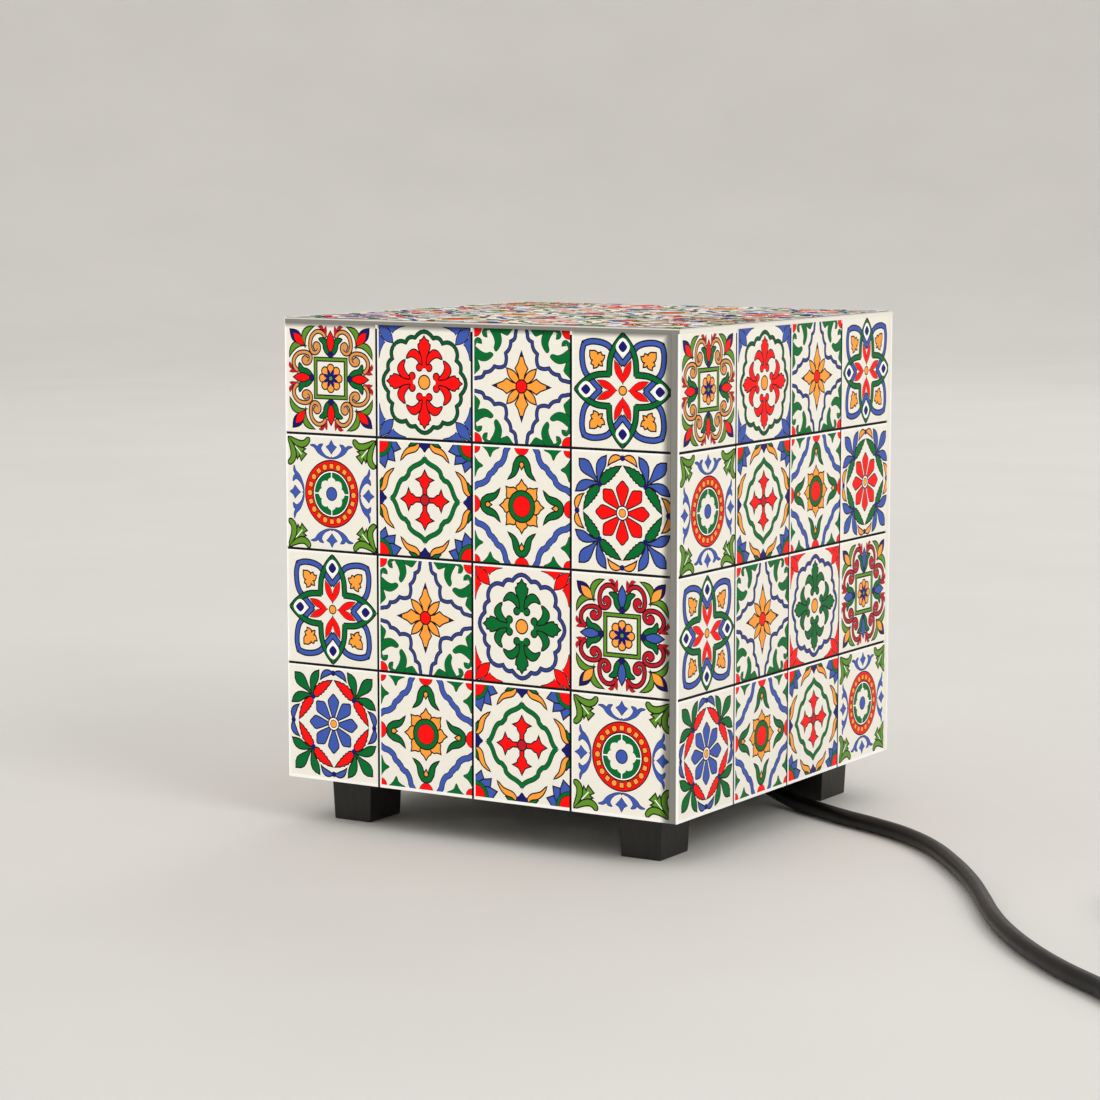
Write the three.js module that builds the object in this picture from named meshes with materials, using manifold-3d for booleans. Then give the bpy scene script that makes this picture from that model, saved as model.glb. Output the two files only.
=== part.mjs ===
// Cube table lamp: a glass cube covered in printed Mediterranean-style tiles, lit from inside by one
// bulb, on four short block feet, with a mains cord, an inline switch and a two-pin plug.
// Millimetres, +Z up. The origin is on the standing surface, under the middle of the cube.
import * as THREE from 'three';
import { mergeVertices } from 'three/addons/utils/BufferGeometryUtils.js';
import Module from 'manifold-3d';

const wasm = await Module();
wasm.setup();

// Driving dimensions
const SIDE = 200; // outside width and depth of the cube
const CUBE_HEIGHT = 206; // lower edge of the side panels to the top face
const FOOT_HEIGHT = 20;
const GAP = 0.3; // between pieces that touch

// Walls: an opal glass panel with a printed tile sheet bonded on its outer face
const PANEL_T = 2.4;
const SHEET_T = 0.7;
const TILE_U = 49.6; // tile pitch along a side, counted from the side's left edge
const TILE_V = 51.5; // tile pitch down a side, counted from the top face
const TILE_TOP = SIDE / 4; // tile pitch on the top, both ways
const GROUT_W = 0.9;
const GROUT_DEPTH = 0.35;
const TILES_PER_SIDE = 4;
const POST = 7; // square glass bar in each inner corner

// Base board and feet
const BOARD_T = 8;
const BOARD_RECESS = 1; // the board's underside above the cube's lower edge
const BOARD_CLEARANCE = 0.6; // running clearance to the panels that lift off over it
const VENT_R = 4;
const VENT_CIRCLE_R = 62;
const VENTS = 8;
const FOOT = { x: 75, y: 75, topW: 21.5, topD: 25, bottomW: 19.5, bottomD: 24 };
const FOOT_SCREW = { headR: 4, headH: 2.4, shankR: 1.8, length: 20, holeR: 2.2 };

// Lamp holder and bulb, on the cube's centre line
const FLANGE = { r: 31, h: 5, boreR: 6 };
const HOLDER_SCREW = { x: 26, headR: 3.4, headH: 2, shankR: 1.6, length: 11, holeR: 2 };
const HOLDER = { r: 20.5, topR: 19.5, h: 51.4, boreR: 15.6, floorH: 7.4 };
const SHELL = { r: 15.2, boreR: 13.6, bottom: 46, top: 84 };
const BULB = { tip: 49, capR: 13.1, capBottom: 57, capTop: 84.5, collarTop: 120, r: 30, top: 159 };

// Cord outlet under the board, and the cord
const OUTLET = { x: -4, y: 50, w: 34, d: 20, cordZ: 12.3, wireR: 5 };
const OUTLET_SCREW = { x: -14, dy: 6, headR: 3, headH: 2, shankR: 1.5, holeR: 1.9, sinkH: 3 };
const RELIEF = { length: 30, r: 6.5, collar: 5, tipR: 4.4 };
const LEAD = { r: 1.2, x: 2.5, inset: 2, rise: 0.8 };
const CORD_R = 3.5;
const CORD_SIDES = 10;
const CORD_STEP = 17;
const ON_FLOOR = CORD_R + GAP; // height of the cord's centre where it lies on the surface
const COIL = { x: 339.1, y: -60, innerR: 38.4, outerR: 45.6, bottom: 5.1, pitch: 7.2, round: 2.5 };
const SWITCH = { x: COIL.x + COIL.outerR, y: -144, length: 62, width: 26, height: 15, cordZ: 7.6 };
// The cord's turn on the surface before the inline switch; its ends are in degrees round its centre
const BEND = { r: 31, y: -179, from: 232, to: 360, steps: 8 };
const ROCKER = { length: 19, width: 10.4, pivotZ: 14.6, tilt: 7, trunnionR: 0.9, trunnionL: 1.6 };
const PLUG = { y: -8, length: 36, backW: 14, width: 35.3, height: 13.7, pinR: 2, pinL: 19, pinX: 9.5 };
const TIE = { width: 9, thickness: 0.9, slack: 0.7 };
const CORNERS = [
  ['front_left', -1, -1], ['front_right', 1, -1], ['back_left', -1, 1], ['back_right', 1, 1],
];
const CUT = 1; // how far a cutting solid runs past the surface it cuts

// Derived heights
const cubeTop = FOOT_HEIGHT + CUBE_HEIGHT;
const half = SIDE / 2;
const topSheetBottom = cubeTop - SHEET_T;
const topPanelTop = topSheetBottom - GAP;
const topPanelBottom = topPanelTop - PANEL_T;
const wallTop = topPanelBottom - GAP;
const sheetInner = half - SHEET_T;
const panelOuter = sheetInner - GAP;
const panelInner = panelOuter - PANEL_T;
const wallEnd = panelInner - GAP; // where a wall butts against its neighbour's inner face
const boardBottom = FOOT_HEIGHT + BOARD_RECESS;
const boardTop = boardBottom + BOARD_T;
const onBoard = boardTop + GAP;
const footTop = boardBottom - GAP;
const flangeTop = onBoard + FLANGE.h;
const holderBottom = flangeTop + GAP;
const holderTop = holderBottom + HOLDER.h;

// Materials
const finish = (color, roughness, metalness = 0) =>
  new THREE.MeshStandardMaterial({ color, roughness, metalness });
const opalGlass = finish(0xf4f0e6, 0.25);
const printedGlass = finish(0xefe9dc, 0.2);
const blackBoard = finish(0x15120f, 0.6);
const blackWood = finish(0x24211d, 0.55);
const blackPlastic = finish(0x111111, 0.45);
const blackRubber = finish(0x0d0d0d, 0.6);
const whitePlastic = finish(0xf2f2ee, 0.4);
const frostedGlass = finish(0xfbf8ee, 0.35);
const zincSteel = finish(0xb9bcc0, 0.35, 1);
const brass = finish(0xc8a24a, 0.3, 1);
const insulation = { live: finish(0x6a3a1e, 0.5), neutral: finish(0x2c55a8, 0.5) };

// Geometry helpers
function box(w, d, h, x = 0, y = 0, z = 0) {
  return new THREE.BoxGeometry(w, d, h).translate(x, y, z + h / 2);
}

function cylinder(r, h, x = 0, y = 0, z = 0, sides = 24) {
  return new THREE.CylinderGeometry(r, r, h, sides).rotateX(Math.PI / 2).translate(x, y, z + h / 2);
}

// A solid of revolution about +Z from [radius, height] points
function turned(points, sides = 32) {
  const profile = points.map(([r, z]) => new THREE.Vector2(r, z));
  return new THREE.LatheGeometry(profile, sides).rotateX(Math.PI / 2);
}

function outline(points) {
  return new THREE.Shape(points.map(([x, y]) => new THREE.Vector2(x, y)));
}

function prism(shape, height, z = 0) {
  return new THREE.ExtrudeGeometry(shape, { depth: height, bevelEnabled: false }).translate(0, 0, z);
}

function smoothCurve(points) {
  return new THREE.CatmullRomCurve3(points.map((p) => new THREE.Vector3(...p)), false, 'centripetal');
}

// A round rod along a smooth curve through the points
function rod(points, radius, sides, steps) {
  const path = smoothCurve(points);
  const ring = [];
  for (let i = 0; i < sides; i += 1) {
    const a = (2 * Math.PI * i) / sides;
    ring.push([radius * Math.cos(a), radius * Math.sin(a)]);
  }
  return new THREE.ExtrudeGeometry(outline(ring), { extrudePath: path, steps });
}

function toSolid(geometry) {
  const bare = geometry.index ? geometry.toNonIndexed() : geometry.clone();
  bare.deleteAttribute('normal');
  bare.deleteAttribute('uv');
  const welded = mergeVertices(bare, 1e-4);
  const index = Array.from(welded.index.array);
  const triangles = [];
  for (let i = 0; i < index.length; i += 3) {
    const [a, b, c] = index.slice(i, i + 3);
    if (a !== b && b !== c && c !== a) triangles.push(a, b, c);
  }
  return new wasm.Manifold(new wasm.Mesh({
    numProp: 3,
    vertProperties: new Float32Array(welded.attributes.position.array),
    triVerts: new Uint32Array(triangles),
  }));
}

function toGeometry(solid) {
  const mesh = solid.getMesh();
  const geometry = new THREE.BufferGeometry();
  geometry.setAttribute('position', new THREE.BufferAttribute(new Float32Array(mesh.vertProperties), 3));
  geometry.setIndex(new THREE.BufferAttribute(new Uint32Array(mesh.triVerts), 1));
  return geometry;
}

function cut(geometry, ...tools) {
  return toGeometry(tools.reduce((solid, tool) => solid.subtract(toSolid(tool)), toSolid(geometry)));
}

function join(...geometries) {
  return toGeometry(geometries.map(toSolid).reduce((whole, piece) => whole.add(piece)));
}

function piece(name, geometry, material) {
  const mesh = new THREE.Mesh(geometry, material);
  mesh.name = name;
  return mesh;
}

// A screw hanging down from z: a pan head above it and a shank below
function screw(name, spec, x, y, z) {
  const { headR, headH } = spec;
  const head = turned([[0, 0], [headR, 0], [headR, 0.6], [headR * 0.7, headH], [0, headH]], 16);
  const shank = cylinder(spec.shankR, spec.length, 0, 0, 0.1 - spec.length, 12);
  const mesh = piece(name, join(head, shank), zincSteel);
  mesh.position.set(x, y, z);
  return mesh;
}

// Glass cube: four walls laid round the corners like a pinwheel, and a top
function wall(side, quarterTurns) {
  const group = new THREE.Group();
  const width = half + wallEnd;
  const height = wallTop - FOOT_HEIGHT;
  const middle = (wallEnd - half) / 2;
  const panelY = -(panelOuter + panelInner) / 2;
  group.add(piece(`panel_${side}`, box(width, PANEL_T, height, middle, panelY, FOOT_HEIGHT), opalGlass));

  const joints = [];
  const jointY = -half + GROUT_DEPTH / 2;
  for (let i = 1; i < TILES_PER_SIDE; i += 1) {
    const u = -half + i * TILE_U - GROUT_W / 2;
    joints.push(box(GROUT_W, GROUT_DEPTH + 0.1, height + 2, u, jointY - 0.05, FOOT_HEIGHT - 1));
    const v = cubeTop - i * TILE_V;
    joints.push(box(width + 2, GROUT_DEPTH + 0.1, GROUT_W, middle, jointY - 0.05, v));
  }
  const sheetY = -(half + sheetInner) / 2;
  const plain = box(width, SHEET_T, height, middle, sheetY, FOOT_HEIGHT);
  group.add(piece(`tile_sheet_${side}`, cut(plain, ...joints), printedGlass));
  group.rotation.z = (quarterTurns * Math.PI) / 2;
  return group;
}

function top() {
  const group = new THREE.Group();
  group.add(piece('panel_top', box(SIDE, SIDE, PANEL_T, 0, 0, topPanelBottom), opalGlass));
  const joints = [];
  for (let i = 1; i < TILES_PER_SIDE; i += 1) {
    const offset = -half + i * TILE_TOP;
    const z = cubeTop - GROUT_DEPTH;
    joints.push(box(GROUT_W, SIDE + 2, GROUT_DEPTH + 0.1, offset - GROUT_W / 2, 0, z));
    joints.push(box(SIDE + 2, GROUT_W, GROUT_DEPTH + 0.1, 0, offset + GROUT_W / 2, z));
  }
  const plain = box(SIDE, SIDE, SHEET_T, 0, 0, topSheetBottom);
  group.add(piece('tile_sheet_top', cut(plain, ...joints), printedGlass));
  return group;
}

function cornerPosts() {
  const group = new THREE.Group();
  const offset = wallEnd - POST / 2;
  const height = wallTop - onBoard;
  for (const [name, sx, sy] of CORNERS) {
    const bar = box(POST, POST, height, sx * offset, sy * offset, onBoard);
    group.add(piece(`corner_post_${name}`, bar, opalGlass));
  }
  return group;
}

// Base board with its feet
function baseBoard() {
  const width = 2 * (panelInner - BOARD_CLEARANCE);
  const through = BOARD_T + 2 * CUT;
  const from = boardBottom - CUT;
  const holes = [];
  for (const [, sx, sy] of CORNERS) {
    holes.push(cylinder(FOOT_SCREW.holeR, through, sx * FOOT.x, sy * FOOT.y, from, 12));
  }
  for (let i = 0; i < VENTS; i += 1) {
    const a = ((i + 0.5) * 2 * Math.PI) / VENTS;
    const [x, y] = [VENT_CIRCLE_R * Math.cos(a), VENT_CIRCLE_R * Math.sin(a)];
    holes.push(cylinder(VENT_R, through, x, y, from, 14));
  }
  for (const x of [-HOLDER_SCREW.x, HOLDER_SCREW.x]) {
    holes.push(cylinder(HOLDER_SCREW.holeR, through, x, 0, from, 16));
  }
  for (const y of [-OUTLET_SCREW.dy, OUTLET_SCREW.dy]) {
    holes.push(cylinder(OUTLET_SCREW.holeR, through, OUTLET_SCREW.x, OUTLET.y + y, from, 16));
  }
  holes.push(cylinder(OUTLET.wireR, through, 0, OUTLET.y, from, 20));
  const board = box(width, width, BOARD_T, 0, 0, boardBottom);
  return piece('base_board', cut(board, ...holes), blackBoard);
}

function foot(name, sx, sy) {
  const taper = new THREE.BoxGeometry(1, 1, footTop).translate(0, 0, footTop / 2);
  const position = taper.attributes.position;
  for (let i = 0; i < position.count; i += 1) {
    const upper = position.getZ(i) > footTop / 2;
    position.setX(i, position.getX(i) * (upper ? FOOT.topW : FOOT.bottomW));
    position.setY(i, position.getY(i) * (upper ? FOOT.topD : FOOT.bottomD));
  }
  const depth = FOOT_SCREW.length - BOARD_T;
  const bore = cylinder(FOOT_SCREW.holeR, depth + 1, 0, 0, footTop - depth, 16);
  const mesh = piece(`foot_${name}`, cut(taper, bore), blackWood);
  mesh.position.set(sx * FOOT.x, sy * FOOT.y, 0);
  return mesh;
}

function feet() {
  const group = new THREE.Group();
  for (const [name, sx, sy] of CORNERS) {
    group.add(foot(name, sx, sy));
    group.add(screw(`foot_screw_${name}`, FOOT_SCREW, sx * FOOT.x, sy * FOOT.y, onBoard));
  }
  return group;
}

// Lamp holder: flange, insulating body, screw shell and centre contact
function lampHolder() {
  const group = new THREE.Group();
  const flangeHoles = [-HOLDER_SCREW.x, HOLDER_SCREW.x].map((x) =>
    cylinder(HOLDER_SCREW.holeR, FLANGE.h + 2, x, 0, onBoard - 1, 16));
  const flange = cut(cylinder(FLANGE.r, FLANGE.h, 0, 0, onBoard, 48),
    cylinder(FLANGE.boreR, FLANGE.h + 2, 0, 0, onBoard - 1, 20), ...flangeHoles);
  group.add(piece('holder_flange', flange, whitePlastic));
  group.add(screw('holder_screw_left', HOLDER_SCREW, -HOLDER_SCREW.x, 0, flangeTop + GAP));
  group.add(screw('holder_screw_right', HOLDER_SCREW, HOLDER_SCREW.x, 0, flangeTop + GAP));

  const floor = holderBottom + HOLDER.floorH;
  const body = turned([
    [0, holderBottom], [HOLDER.r, holderBottom], [HOLDER.r, holderTop - 14], [HOLDER.topR, holderTop],
    [HOLDER.boreR, holderTop], [HOLDER.boreR, floor], [0, floor],
  ]);
  group.add(piece('holder_body', body, whitePlastic));
  const { r: shellR, boreR, bottom, top: rim } = SHELL;
  const shell = turned([[boreR, bottom], [shellR, bottom], [shellR, rim], [boreR, rim], [boreR, bottom]]);
  group.add(piece('holder_shell', shell, brass));

  const t = 0.8; // strip thickness of the sprung centre tongue
  const low = floor + GAP;
  const tongue = outline([
    [-10, low], [6, low], [6, low + t], [-7, low + t], [-5, low + 3], [4, BULB.tip - GAP - t],
    [4, BULB.tip - GAP], [-5.8, low + 3.6], [-8, low + t], [-10, low + t],
  ]);
  group.add(piece('holder_contact', prism(tongue, 6, -3).rotateX(Math.PI / 2), brass));
  return group;
}

// Bulb: centre contact, glass insulator, screw cap, collar and frosted globe
function bulb() {
  const group = new THREE.Group();
  const { tip, capR, capBottom, capTop, collarTop, r, top: crown } = BULB;
  const contact = turned([[0, tip], [3, tip], [4.5, tip + 1], [4.5, tip + 2], [0, tip + 2]], 24);
  group.add(piece('bulb_contact', contact, brass));
  group.add(piece('bulb_insulator', turned([
    [0, tip + 2 + GAP], [5, tip + 2 + GAP], [12, capBottom - GAP], [0, capBottom - GAP],
  ], 32), blackPlastic));
  group.add(piece('bulb_cap', turned([
    [capR - 1, capBottom], [capR, capBottom + 1], [capR, capTop], [capR - 1.2, capTop],
    [capR - 1.2, capBottom + 1], [capR - 1, capBottom],
  ]), zincSteel));
  const neck = capTop + GAP;
  group.add(piece('bulb_collar', turned([
    [0, neck], [13.3, neck], [14.2, neck + 4], [17.5, neck + 12], [24, neck + 24], [28.4, collarTop - 2],
    [28.4, collarTop], [0, collarTop],
  ]), whitePlastic));

  // A 1.2 mm thick dome on the collar: a short flare, then a half sphere
  const wallT = 1.2;
  const waist = crown - r;
  const arc = (radius, from, to, steps) => Array.from({ length: steps + 1 }, (_, i) => {
    const a = from + ((to - from) * i) / steps;
    return [radius * Math.cos(a), waist + radius * Math.sin(a)];
  });
  const rim = collarTop + GAP;
  const start = Math.asin((rim - waist) / r);
  const inner = arc(r - wallT, Math.PI / 2, start, 7);
  inner[0][0] = 0;
  inner[inner.length - 1] = [inner[inner.length - 1][0], rim];
  const outer = arc(r, start, Math.PI / 2, 10);
  outer[outer.length - 1][0] = 0;
  group.add(piece('bulb_globe', turned([...inner, ...outer], 32), frostedGlass));
  return group;
}

// Cord outlet under the board, with the two leads that go up to the lamp holder
function cordOutlet() {
  const group = new THREE.Group();
  const bottom = OUTLET.cordZ - 5;
  const height = boardBottom - GAP - bottom;
  const right = OUTLET.x + OUTLET.w / 2;
  const tools = [cylinder(OUTLET.wireR, 30, 0, OUTLET.y, OUTLET.cordZ - 1, 20)];
  const bore = cylinder(CORD_R, right + 1, 0, 0, 0, 16).rotateY(Math.PI / 2);
  tools.push(bore.translate(0, OUTLET.y, OUTLET.cordZ));
  for (const dy of [-OUTLET_SCREW.dy, OUTLET_SCREW.dy]) {
    const [x, y] = [OUTLET_SCREW.x, OUTLET.y + dy];
    tools.push(cylinder(OUTLET_SCREW.holeR, height + 2 * CUT, x, y, bottom - CUT, 16));
    tools.push(cylinder(OUTLET_SCREW.headR + GAP, OUTLET_SCREW.sinkH + CUT, x, y, bottom - CUT, 20));
  }
  const block = cut(box(OUTLET.w, OUTLET.d, height, OUTLET.x, OUTLET.y, bottom), ...tools);
  group.add(piece('cord_outlet', block, blackPlastic));
  for (const [name, dy] of [['front', -OUTLET_SCREW.dy], ['back', OUTLET_SCREW.dy]]) {
    const spec = { ...OUTLET_SCREW, length: 17 };
    const z = bottom + OUTLET_SCREW.sinkH - GAP;
    const fastener = screw(`outlet_screw_${name}`, spec, OUTLET_SCREW.x, OUTLET.y + dy, z);
    fastener.rotation.x = Math.PI;
    group.add(fastener);
  }

  const { r, collar, tipR, length } = RELIEF;
  const sleeve = turned([[0, 0], [r, 0], [r, collar], [tipR, length], [0, length]], 24);
  const relief = piece('strain_relief', sleeve, blackRubber);
  relief.rotation.y = Math.PI / 2;
  relief.position.set(right + GAP, OUTLET.y, OUTLET.cordZ);
  group.add(relief);

  const lying = onBoard + LEAD.r + GAP;
  const arched = onBoard + LEAD.r + LEAD.rise;
  for (const [name, x] of [['live', -LEAD.x], ['neutral', LEAD.x]]) {
    const route = [
      [x, OUTLET.y, OUTLET.cordZ + LEAD.inset], [x, OUTLET.y, boardTop - LEAD.inset],
      [x, OUTLET.y - 2.5, arched], [x, OUTLET.y - 8, arched],
      [x, FLANGE.r + 4, lying], [x, FLANGE.r + GAP, lying],
    ];
    group.add(piece(`lead_${name}`, rod(route, LEAD.r, 8, 12), insulation[name]));
  }
  return group;
}

// The cord's loose stretch: out of the strain relief, down on to the surface, away in a long arc, and
// round an even bend to the inline switch and the coil
const reliefTip = OUTLET.x + OUTLET.w / 2 + GAP + RELIEF.length + GAP;
const bend = Array.from({ length: BEND.steps + 1 }, (_, i) => {
  const a = ((BEND.from + ((BEND.to - BEND.from) * i) / BEND.steps) * Math.PI) / 180;
  const climb = Math.max(0, (2 * i) / BEND.steps - 1); // up to the switch over the second half
  const z = ON_FLOOR + (SWITCH.cordZ - ON_FLOOR) * climb;
  return [SWITCH.x - BEND.r + BEND.r * Math.cos(a), BEND.y + BEND.r * Math.sin(a), z];
});
const cordRoute = [
  [reliefTip, OUTLET.y, OUTLET.cordZ], [reliefTip + 6, OUTLET.y, OUTLET.cordZ],
  [58, 49, 10.2], [70, 45.2, 6.2], [84, 38.8, ON_FLOOR],
  [100, 29.5, ON_FLOOR], [118, 20, ON_FLOOR], [136, 12, ON_FLOOR], [153, 3.2, ON_FLOOR],
  [168, -7.5, ON_FLOOR], [182, -20.5, ON_FLOOR], [196, -37, ON_FLOOR], [210, -55, ON_FLOOR],
  [223, -73.5, ON_FLOOR], [235, -92.5, ON_FLOOR], [247, -112, ON_FLOOR], [260, -131, ON_FLOOR],
  [275, -149.5, ON_FLOOR], [291, -166.5, ON_FLOOR], [308, -182, ON_FLOOR], [326, -196, ON_FLOOR],
  ...bend,
  [SWITCH.x, -161, SWITCH.cordZ], [SWITCH.x, -144, SWITCH.cordZ], [SWITCH.x, -127, SWITCH.cordZ],
  [SWITCH.x, -110, SWITCH.cordZ], [SWITCH.x, -98, COIL.bottom + 0.9], [SWITCH.x, COIL.y - 27, COIL.bottom],
];

function cord() {
  const group = new THREE.Group();
  const steps = Math.round(smoothCurve(cordRoute).getLength() / CORD_STEP);
  group.add(piece('cord_run', rod(cordRoute, CORD_R, CORD_SIDES, steps), blackRubber));

  const low = COIL.bottom - CORD_R - GAP;
  const high = COIL.bottom + COIL.pitch + CORD_R + GAP;
  const [near, far] = [COIL.innerR - CORD_R - GAP, COIL.outerR + CORD_R + GAP];
  const { round } = COIL;
  const section = [
    [near + round, low], [far - round, low], [far, low + round], [far, high - round], [far - round, high],
    [near + round, high], [near, high - round], [near, low + round], [near + round, low],
  ];
  const coil = piece('cord_coil', turned(section, 40), blackRubber);
  coil.position.set(COIL.x, COIL.y, 0);
  group.add(coil);

  // A strap round the coil's turns
  const { slack, thickness: t } = TIE;
  const [w, h] = [far - near + 2 * slack, high - low + 2 * GAP];
  const strap = cut(box(w + 2 * t, TIE.width, h + 2 * t), box(w, TIE.width + 2 * CUT, h, 0, 0, t));
  const tie = piece('cord_tie', strap, blackPlastic);
  tie.position.set(COIL.x - (near + far) / 2, COIL.y, low - GAP - t);
  group.add(tie);

  const plugZ = GAP + PLUG.height / 2;
  const tail = [
    [SWITCH.x, COIL.y + 27, 11.6], [SWITCH.x, COIL.y + 34, 9.8], [SWITCH.x, COIL.y + 41, 7.8],
    [SWITCH.x, COIL.y + 47, plugZ], [SWITCH.x, PLUG.y - GAP, plugZ],
  ];
  group.add(piece('cord_tail', rod(tail, CORD_R, CORD_SIDES, 6), blackRubber));
  return group;
}

// Inline switch: two case halves round the cord and a rocker on moulded trunnions
function caseOutline() {
  const [l, w, tip, corner] = [SWITCH.length / 2, SWITCH.width / 2, 6.5, 12];
  const shape = new THREE.Shape();
  shape.moveTo(-l, -tip);
  shape.quadraticCurveTo(-l + 2, -w, -l + corner, -w);
  shape.lineTo(l - corner, -w);
  shape.quadraticCurveTo(l - 2, -w, l, -tip);
  shape.lineTo(l, tip);
  shape.quadraticCurveTo(l - 2, w, l - corner, w);
  shape.lineTo(-l + corner, w);
  shape.quadraticCurveTo(-l + 2, w, -l, tip);
  shape.closePath();
  return shape;
}

function inlineSwitch() {
  const group = new THREE.Group();
  const bore = cylinder(CORD_R + 0.5, SWITCH.length + 4, 0, 0, -SWITCH.length / 2 - 2, 20)
    .rotateY(Math.PI / 2).translate(0, 0, SWITCH.cordZ);
  const split = SWITCH.cordZ;
  const plan = caseOutline();
  const lower = prism(plan, split - 2 * GAP - 0.15, 2 * GAP);
  group.add(piece('switch_case_lower', cut(lower, bore), blackPlastic));

  const topZ = 2 * GAP + SWITCH.height;
  const pocketFloor = ROCKER.pivotZ - 2.6;
  const pocket = box(ROCKER.length + 1.6, ROCKER.width + 0.8, 10, 0, 0, pocketFloor);
  const axleL = ROCKER.width + 2 * ROCKER.trunnionL;
  const span = axleL + 1.2;
  const bearing = cylinder(ROCKER.trunnionR + 0.4, span, 0, 0, 0, 16);
  bearing.translate(0, 0, -span / 2).rotateX(Math.PI / 2).translate(0, 0, ROCKER.pivotZ);
  const slot = box(2 * ROCKER.trunnionR + 0.6, span, 10, 0, 0, ROCKER.pivotZ);
  const upper = prism(plan, topZ - split - 0.15, split + 0.15);
  group.add(piece('switch_case_upper', cut(upper, bore, pocket, bearing, slot), blackPlastic));

  const l = ROCKER.length / 2;
  const side = outline([[-l, -0.3], [0, -2], [l, -0.3], [l, 2.3], [0, 1.5], [-l, 2.3]]);
  const paddle = prism(side, ROCKER.width, -ROCKER.width / 2).rotateX(Math.PI / 2);
  const axle = cylinder(ROCKER.trunnionR, axleL, 0, 0, -axleL / 2, 16);
  const rocker = piece('switch_rocker', join(paddle, axle.rotateX(Math.PI / 2)), blackPlastic);
  rocker.rotation.y = (-ROCKER.tilt * Math.PI) / 180;
  rocker.position.z = ROCKER.pivotZ;
  group.add(rocker);

  group.rotation.z = Math.PI / 2;
  group.position.set(SWITCH.x, SWITCH.y, 0);
  return group;
}

// Flat two-pin plug, lying beside the coil
function plug() {
  const group = new THREE.Group();
  const [b, w, l] = [PLUG.backW / 2, PLUG.width / 2, PLUG.length];
  const shape = new THREE.Shape();
  shape.moveTo(-b, 0);
  shape.lineTo(b, 0);
  shape.quadraticCurveTo(b + 1, l * 0.45, w, l * 0.6);
  shape.lineTo(w, l);
  shape.lineTo(-w, l);
  shape.lineTo(-w, l * 0.6);
  shape.quadraticCurveTo(-b - 1, l * 0.45, -b, 0);
  group.add(piece('plug_body', prism(shape, PLUG.height, GAP), blackPlastic));
  for (const [name, x] of [['left', -PLUG.pinX], ['right', PLUG.pinX]]) {
    const { pinR, pinL } = PLUG;
    const pin = turned([[0, 0], [pinR, 0], [pinR, pinL - 1], [pinR - 1, pinL], [0, pinL]], 20);
    const mesh = piece(`plug_pin_${name}`, pin, brass);
    mesh.rotation.x = -Math.PI / 2;
    mesh.position.set(x, l + GAP, GAP + PLUG.height / 2);
    group.add(mesh);
  }
  group.position.set(SWITCH.x, PLUG.y, 0);
  return group;
}

const lamp = new THREE.Group();
lamp.add(baseBoard(), feet(), lampHolder(), bulb(), cordOutlet());
['front', 'right', 'back', 'left'].forEach((side, quarterTurns) => lamp.add(wall(side, quarterTurns)));
lamp.add(top(), cornerPosts());
lamp.add(cord(), inlineSwitch(), plug());

export default lamp;
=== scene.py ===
from math import cos, hypot, log, pi, radians, sin

import bmesh
import bpy
from mathutils import Matrix, Vector
from mathutils.geometry import delaunay_2d_cdt


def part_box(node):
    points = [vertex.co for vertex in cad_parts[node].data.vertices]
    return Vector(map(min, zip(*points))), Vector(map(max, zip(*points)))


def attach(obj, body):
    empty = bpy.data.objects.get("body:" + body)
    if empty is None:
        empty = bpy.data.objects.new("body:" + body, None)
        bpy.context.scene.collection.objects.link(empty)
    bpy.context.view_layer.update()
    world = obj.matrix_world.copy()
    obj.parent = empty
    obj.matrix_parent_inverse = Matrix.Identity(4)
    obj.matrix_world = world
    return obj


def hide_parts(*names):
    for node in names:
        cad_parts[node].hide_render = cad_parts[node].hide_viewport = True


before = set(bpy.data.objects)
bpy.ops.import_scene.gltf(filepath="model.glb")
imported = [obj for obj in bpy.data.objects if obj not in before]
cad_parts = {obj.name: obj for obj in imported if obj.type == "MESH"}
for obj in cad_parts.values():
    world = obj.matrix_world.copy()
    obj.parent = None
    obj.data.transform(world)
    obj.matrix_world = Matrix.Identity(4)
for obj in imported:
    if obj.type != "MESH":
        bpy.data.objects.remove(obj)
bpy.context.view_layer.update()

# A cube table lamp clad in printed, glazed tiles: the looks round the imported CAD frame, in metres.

MM = 0.001
SIDES = ("front", "right", "back", "left")
CORNERS = ("front_left", "front_right", "back_left", "back_right")


def add_object(name, data):
    added = bpy.data.objects.new(name, data)
    bpy.context.scene.collection.objects.link(added)
    return added


# ------------ camera

CAMERA_PLACE = (0.7245, -1.2055, 0.2884)
CAMERA_AZIMUTH = 31.8446        # degrees
CAMERA_PITCH = 6.8879           # degrees below the horizon
LENS = 101.4856                 # millimetres, as is the sensor
SENSOR = 36.0
CLIP_START, CLIP_END = 0.01, 60


def add_camera():
    data = bpy.data.cameras.new("camera")
    data.lens = LENS
    data.sensor_width = SENSOR
    data.clip_start = CLIP_START
    data.clip_end = CLIP_END
    camera = add_object("camera", data)
    camera.location = CAMERA_PLACE
    camera.rotation_euler = (radians(90 - CAMERA_PITCH), 0, radians(CAMERA_AZIMUTH))
    bpy.context.scene.camera = camera


# ------------ cord

CORD_D = 7 * MM
# the route is in millimetres, and these are the heights of the cord's centre
ON_FLOOR = 3.8
IN_SWITCH = 7.6
BEND_CENTRE = (353.7, -179.0)
BEND_R = 31.0
BEND_FROM, BEND_TO, BEND_STEPS = 232, 360, 8


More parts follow.
